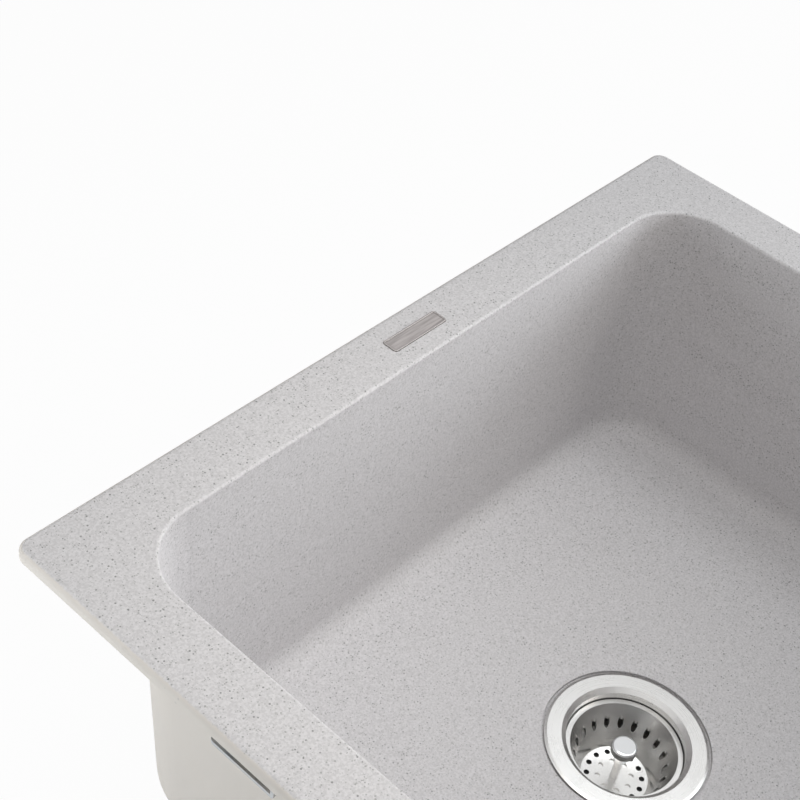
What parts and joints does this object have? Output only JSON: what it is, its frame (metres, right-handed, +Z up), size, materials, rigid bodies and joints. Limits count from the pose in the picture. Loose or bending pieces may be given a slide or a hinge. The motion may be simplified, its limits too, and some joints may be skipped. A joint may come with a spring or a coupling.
{
  "type": "granite composite kitchen sink",
  "caption": "Drop-in single-bowl kitchen sink cast in speckled off-white granite composite, with a flat rim, inset badge plate, basket strainer waste and swinging fixing clips.",
  "frame": {"origin": "in the plane of the worktop's top face, where the rim's seal rests, in the middle of the sink", "axes": "+X to the right along the long side, +Y to the back rim with the badge, +Z up out of the bowl"},
  "size_m": [0.61, 0.508, 0.3687],
  "materials": {
    "granite": "matte, finely speckled",
    "badge_metal": "brushed",
    "adhesive": "matte",
    "seal_rubber": "matte foam",
    "dowel_plastic": "matte",
    "zinc_steel": "zinc plated",
    "stainless": "satin",
    "gasket_rubber": "matte",
    "fibre_card": "matte",
    "nut_plastic": "moulded",
    "pipe_plastic": "smooth",
    "polished_chrome": "polished"
  },
  "bodies": {
    "sink": {"sink_basin": "granite", "badge_plate": "badge_metal", "badge_pad": "adhesive", "rim_seal": "seal_rubber", "clip_dowels": "dowel_plastic", "clip_screws": "zinc_steel", "clip_washers": "zinc_steel", "strainer_cup": "stainless", "flange_gasket": "gasket_rubber", "floor_gasket": "gasket_rubber", "friction_washer": "fibre_card", "lock_nut": "nut_plastic", "cup_crosspiece": "stainless", "tail_gasket": "gasket_rubber", "tailpiece": "pipe_plastic", "coupling_nut": "nut_plastic"},
    "strainer_basket": {"basket": "stainless", "basket_post": "stainless", "basket_knob": "polished_chrome", "stopper_seal": "gasket_rubber", "stopper_washer": "stainless", "post_nut": "stainless"},
    "claw_1": {"clip_claw_1": "zinc_steel"},
    "claw_2": {"clip_claw_2": "zinc_steel"},
    "claw_3": {"clip_claw_3": "zinc_steel"},
    "claw_4": {"clip_claw_4": "zinc_steel"},
    "claw_5": {"clip_claw_5": "zinc_steel"},
    "claw_6": {"clip_claw_6": "zinc_steel"},
    "claw_7": {"clip_claw_7": "zinc_steel"},
    "claw_8": {"clip_claw_8": "zinc_steel"}
  },
  "joints": [
    {"name": "basket_lift", "type": "slide", "parent": "sink", "child": "strainer_basket", "axis": [0, 0, 1], "range_m": [0, 0.3]},
    {"name": "claw_1_swing", "type": "hinge", "parent": "sink", "child": "claw_1", "pos_m": [-0.17, 0.2295, -0.03875], "axis": [0, 0, 1], "range_deg": [0, 90]},
    {"name": "claw_2_swing", "type": "hinge", "parent": "sink", "child": "claw_2", "pos_m": [0.17, 0.2295, -0.03875], "axis": [0, 0, -1], "range_deg": [0, 90]},
    {"name": "claw_3_swing", "type": "hinge", "parent": "sink", "child": "claw_3", "pos_m": [0.2797, 0.105, -0.03875], "axis": [0, 0, 1], "range_deg": [0, 90]},
    {"name": "claw_4_swing", "type": "hinge", "parent": "sink", "child": "claw_4", "pos_m": [0.2797, -0.105, -0.03875], "axis": [0, 0, -1], "range_deg": [0, 90]},
    {"name": "claw_5_swing", "type": "hinge", "parent": "sink", "child": "claw_5", "pos_m": [0.17, -0.2295, -0.03875], "axis": [0, 0, 1], "range_deg": [0, 90]},
    {"name": "claw_6_swing", "type": "hinge", "parent": "sink", "child": "claw_6", "pos_m": [-0.17, -0.2295, -0.03875], "axis": [0, 0, -1], "range_deg": [0, 90]},
    {"name": "claw_7_swing", "type": "hinge", "parent": "sink", "child": "claw_7", "pos_m": [-0.2797, -0.105, -0.03875], "axis": [0, 0, 1], "range_deg": [0, 90]},
    {"name": "claw_8_swing", "type": "hinge", "parent": "sink", "child": "claw_8", "pos_m": [-0.2797, 0.105, -0.03875], "axis": [0, 0, -1], "range_deg": [0, 90]}
  ]
}
